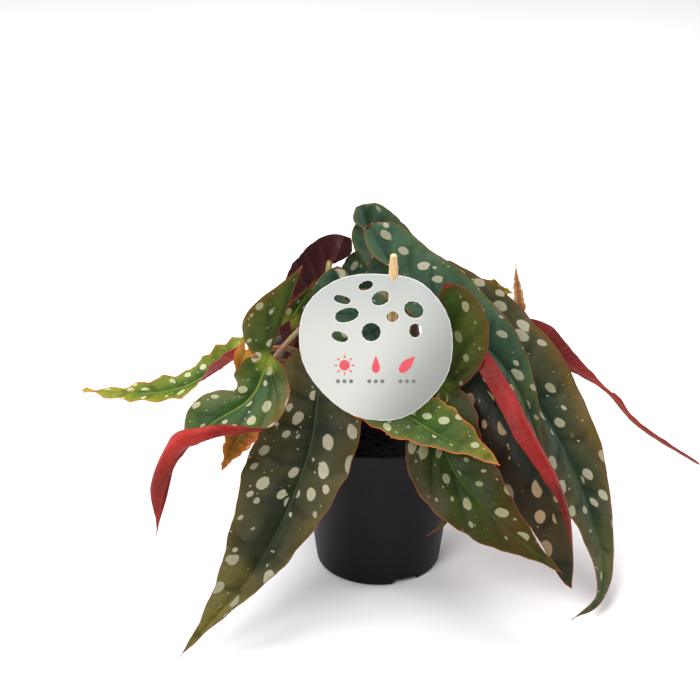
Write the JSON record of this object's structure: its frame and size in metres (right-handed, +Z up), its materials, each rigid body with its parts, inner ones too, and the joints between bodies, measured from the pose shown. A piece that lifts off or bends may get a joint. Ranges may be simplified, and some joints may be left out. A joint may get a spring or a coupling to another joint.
{
  "type": "potted begonia plant",
  "caption": "Potted cane begonia with pale-spotted, red-backed wing-shaped leaves arching over a dark nursery pot, with a round display card on a wooden stick.",
  "frame": {"origin": "middle of the pot's foot, on the surface that the pot stands on", "axes": "+Z up, -Y towards the front, where the display card faces; +X to the right seen from the front"},
  "size_m": [0.4377, 0.2815, 0.2512],
  "materials": {
    "pot_plastic": "satin",
    "soil_peat": "matte",
    "cane_bark": "matte",
    "leaf_green": "satin",
    "dried_bract": "matte",
    "card_board": "satin",
    "stick_wood": "matte"
  },
  "bodies": {
    "root": {"pot": "pot_plastic", "soil": "soil_peat", "cane_left": "cane_bark", "cane_right": "cane_bark", "cane_back": "cane_bark", "cane_side": "cane_bark", "leaf_front_left": "leaf_green", "leaf_left_wing": "leaf_green", "leaf_far_left": "leaf_green", "young_leaf_left": "leaf_green", "young_leaf_middle": "leaf_green", "young_leaf_inner": "leaf_green", "leaf_red_backed": "leaf_green", "leaf_behind_card": "leaf_green", "leaf_inner": "leaf_green", "leaf_top": "leaf_green", "leaf_upper_right": "leaf_green", "leaf_outer_right": "leaf_green", "leaf_rolled_right": "leaf_green", "leaf_front_right": "leaf_green", "young_leaf_low": "leaf_green", "leaf_under_card": "leaf_green", "young_leaf_side": "leaf_green", "leaf_far_right": "leaf_green", "leaf_back_left": "leaf_green", "leaf_back": "leaf_green", "leaf_back_right": "leaf_green", "leaf_left_back": "leaf_green", "dried_bract": "dried_bract", "card": "card_board", "stick": "stick_wood"}
  },
  "joints": []
}
